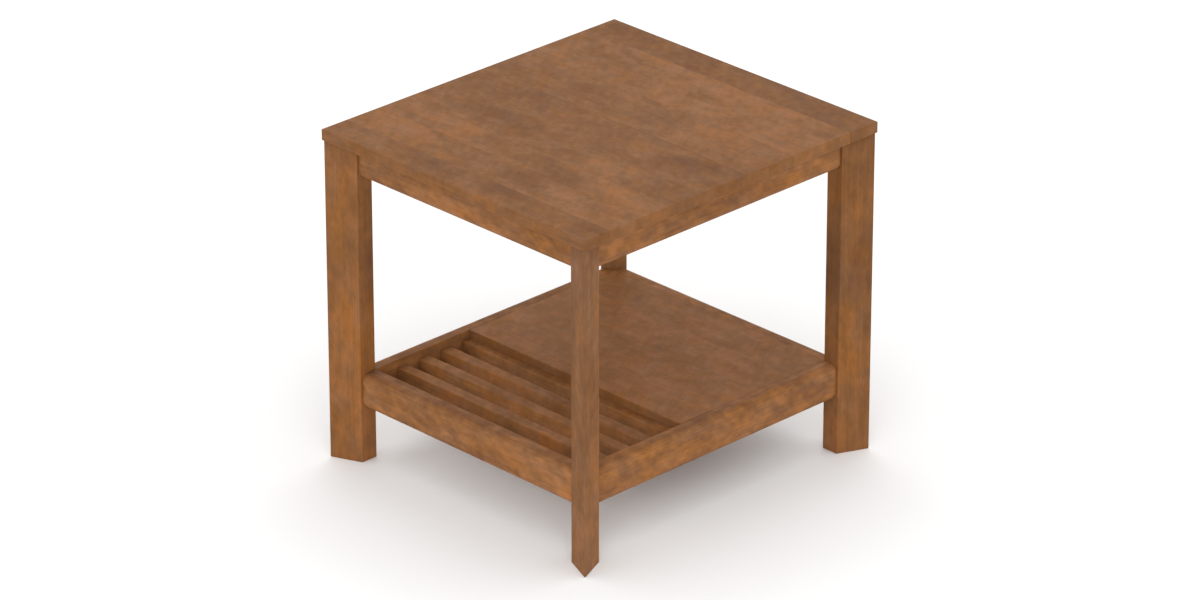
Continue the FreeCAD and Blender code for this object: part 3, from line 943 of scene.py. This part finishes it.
class END_TABLE_OT_stage(bpy.types.Operator):
    """Set the floor, the soft light and the camera"""

    bl_idname = "end_table.stage"
    bl_label = "Stage"

    def execute(self, context):
        scene = context.scene
        stage = scene.end_table_stage
        bpy.ops.object.select_all(action="DESELECT")
        bpy.ops.mesh.primitive_plane_add(size=stage.floor_size, location=(0, 0, -stage.floor_drop))
        floor = context.object
        floor.name = "studio_floor"
        bpy.ops.object.transform_apply(location=True, rotation=True, scale=True)
        floor.data.materials.append(painted_floor("painted_floor", stage))

        world = bpy.data.worlds.new("studio_dome")
        world.use_nodes = True
        world.node_tree.nodes.clear()
        glow = add_node(
            world.node_tree, "ShaderNodeBackground",
            {"Color": (*stage.dome_colour, 1.0), "Strength": stage.dome_strength},
        ).outputs[0]
        add_node(world.node_tree, "ShaderNodeOutputWorld", {"Surface": glow})
        scene.world = world

        aim = Vector((0, 0, stage.aim_height))
        turn = Matrix.Rotation(stage.camera_turn, 3, "Z")
        rise = Matrix.Rotation(-stage.camera_rise, 3, "X")
        towards = turn @ rise @ Vector((0, -1, 0))
        facing = (-towards).to_track_quat("-Z", "Y").to_euler()
        bpy.ops.object.camera_add(location=aim + towards * stage.camera_distance, rotation=facing)
        camera = context.object
        camera.name = "photo_camera"
        camera.data.sensor_width = SENSOR_WIDTH
        camera.data.lens = stage.camera_lens
        scene.camera = camera

        behind = turn @ Matrix.Rotation(stage.back_rise, 3, "X") @ Vector((0, 1, 0))
        lights = {
            "front_light": (towards, stage.front_power),
            "back_light": (behind, stage.back_power),
        }
        for name, (way, power) in lights.items():
            place = aim + way * stage.light_distance
            facing = (-way).to_track_quat("-Z", "Y").to_euler()
            bpy.ops.object.light_add(type="AREA", location=place, rotation=facing)
            light = context.object
            light.name = name
            light.data.shape = "DISK"
            light.data.size = stage.light_size
            light.data.energy = power

        scene.view_settings.view_transform = "Standard"
        return {"FINISHED"}


OPERATORS = (
    END_TABLE_OT_finishes,
    END_TABLE_OT_legs,
    END_TABLE_OT_rails,
    END_TABLE_OT_top,
    END_TABLE_OT_shelf,
    END_TABLE_OT_slats,
    END_TABLE_OT_stage,
)
GROUPS = {
    "end_table_sizes": EndTableSizes,
    "end_table_finish": EndTableFinish,
    "end_table_stage": EndTableStage,
}


class END_TABLE_PT_sidebar(bpy.types.Panel):
    """Sizes, finish, stage and steps of the end table"""

    bl_idname = "END_TABLE_PT_sidebar"
    bl_label = "End table"
    bl_space_type = "VIEW_3D"
    bl_region_type = "UI"
    bl_category = "End table"

    def draw(self, context):
        for name, group in GROUPS.items():
            column = self.layout.column(align=True)
            for prop in group.__annotations__:
                column.prop(getattr(context.scene, name), prop)
        column = self.layout.column(align=True)
        for operator in OPERATORS:
            column.operator(operator.bl_idname)


CLASSES = (*GROUPS.values(), *OPERATORS, END_TABLE_PT_sidebar)


def register():
    for kind in CLASSES:
        bpy.utils.register_class(kind)
    for name, group in GROUPS.items():
        setattr(bpy.types.Scene, name, PointerProperty(type=group))


def unregister():
    for name in GROUPS:
        delattr(bpy.types.Scene, name)
    for kind in reversed(CLASSES):
        bpy.utils.unregister_class(kind)


def main():
    """Registers the classes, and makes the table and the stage."""
    register()
    bpy.ops.end_table.finishes()
    bpy.ops.end_table.legs()
    bpy.ops.end_table.rails()
    bpy.ops.end_table.top()
    bpy.ops.end_table.shelf()
    bpy.ops.end_table.slats()
    bpy.ops.end_table.stage()


if __name__ == "__main__":
    main()
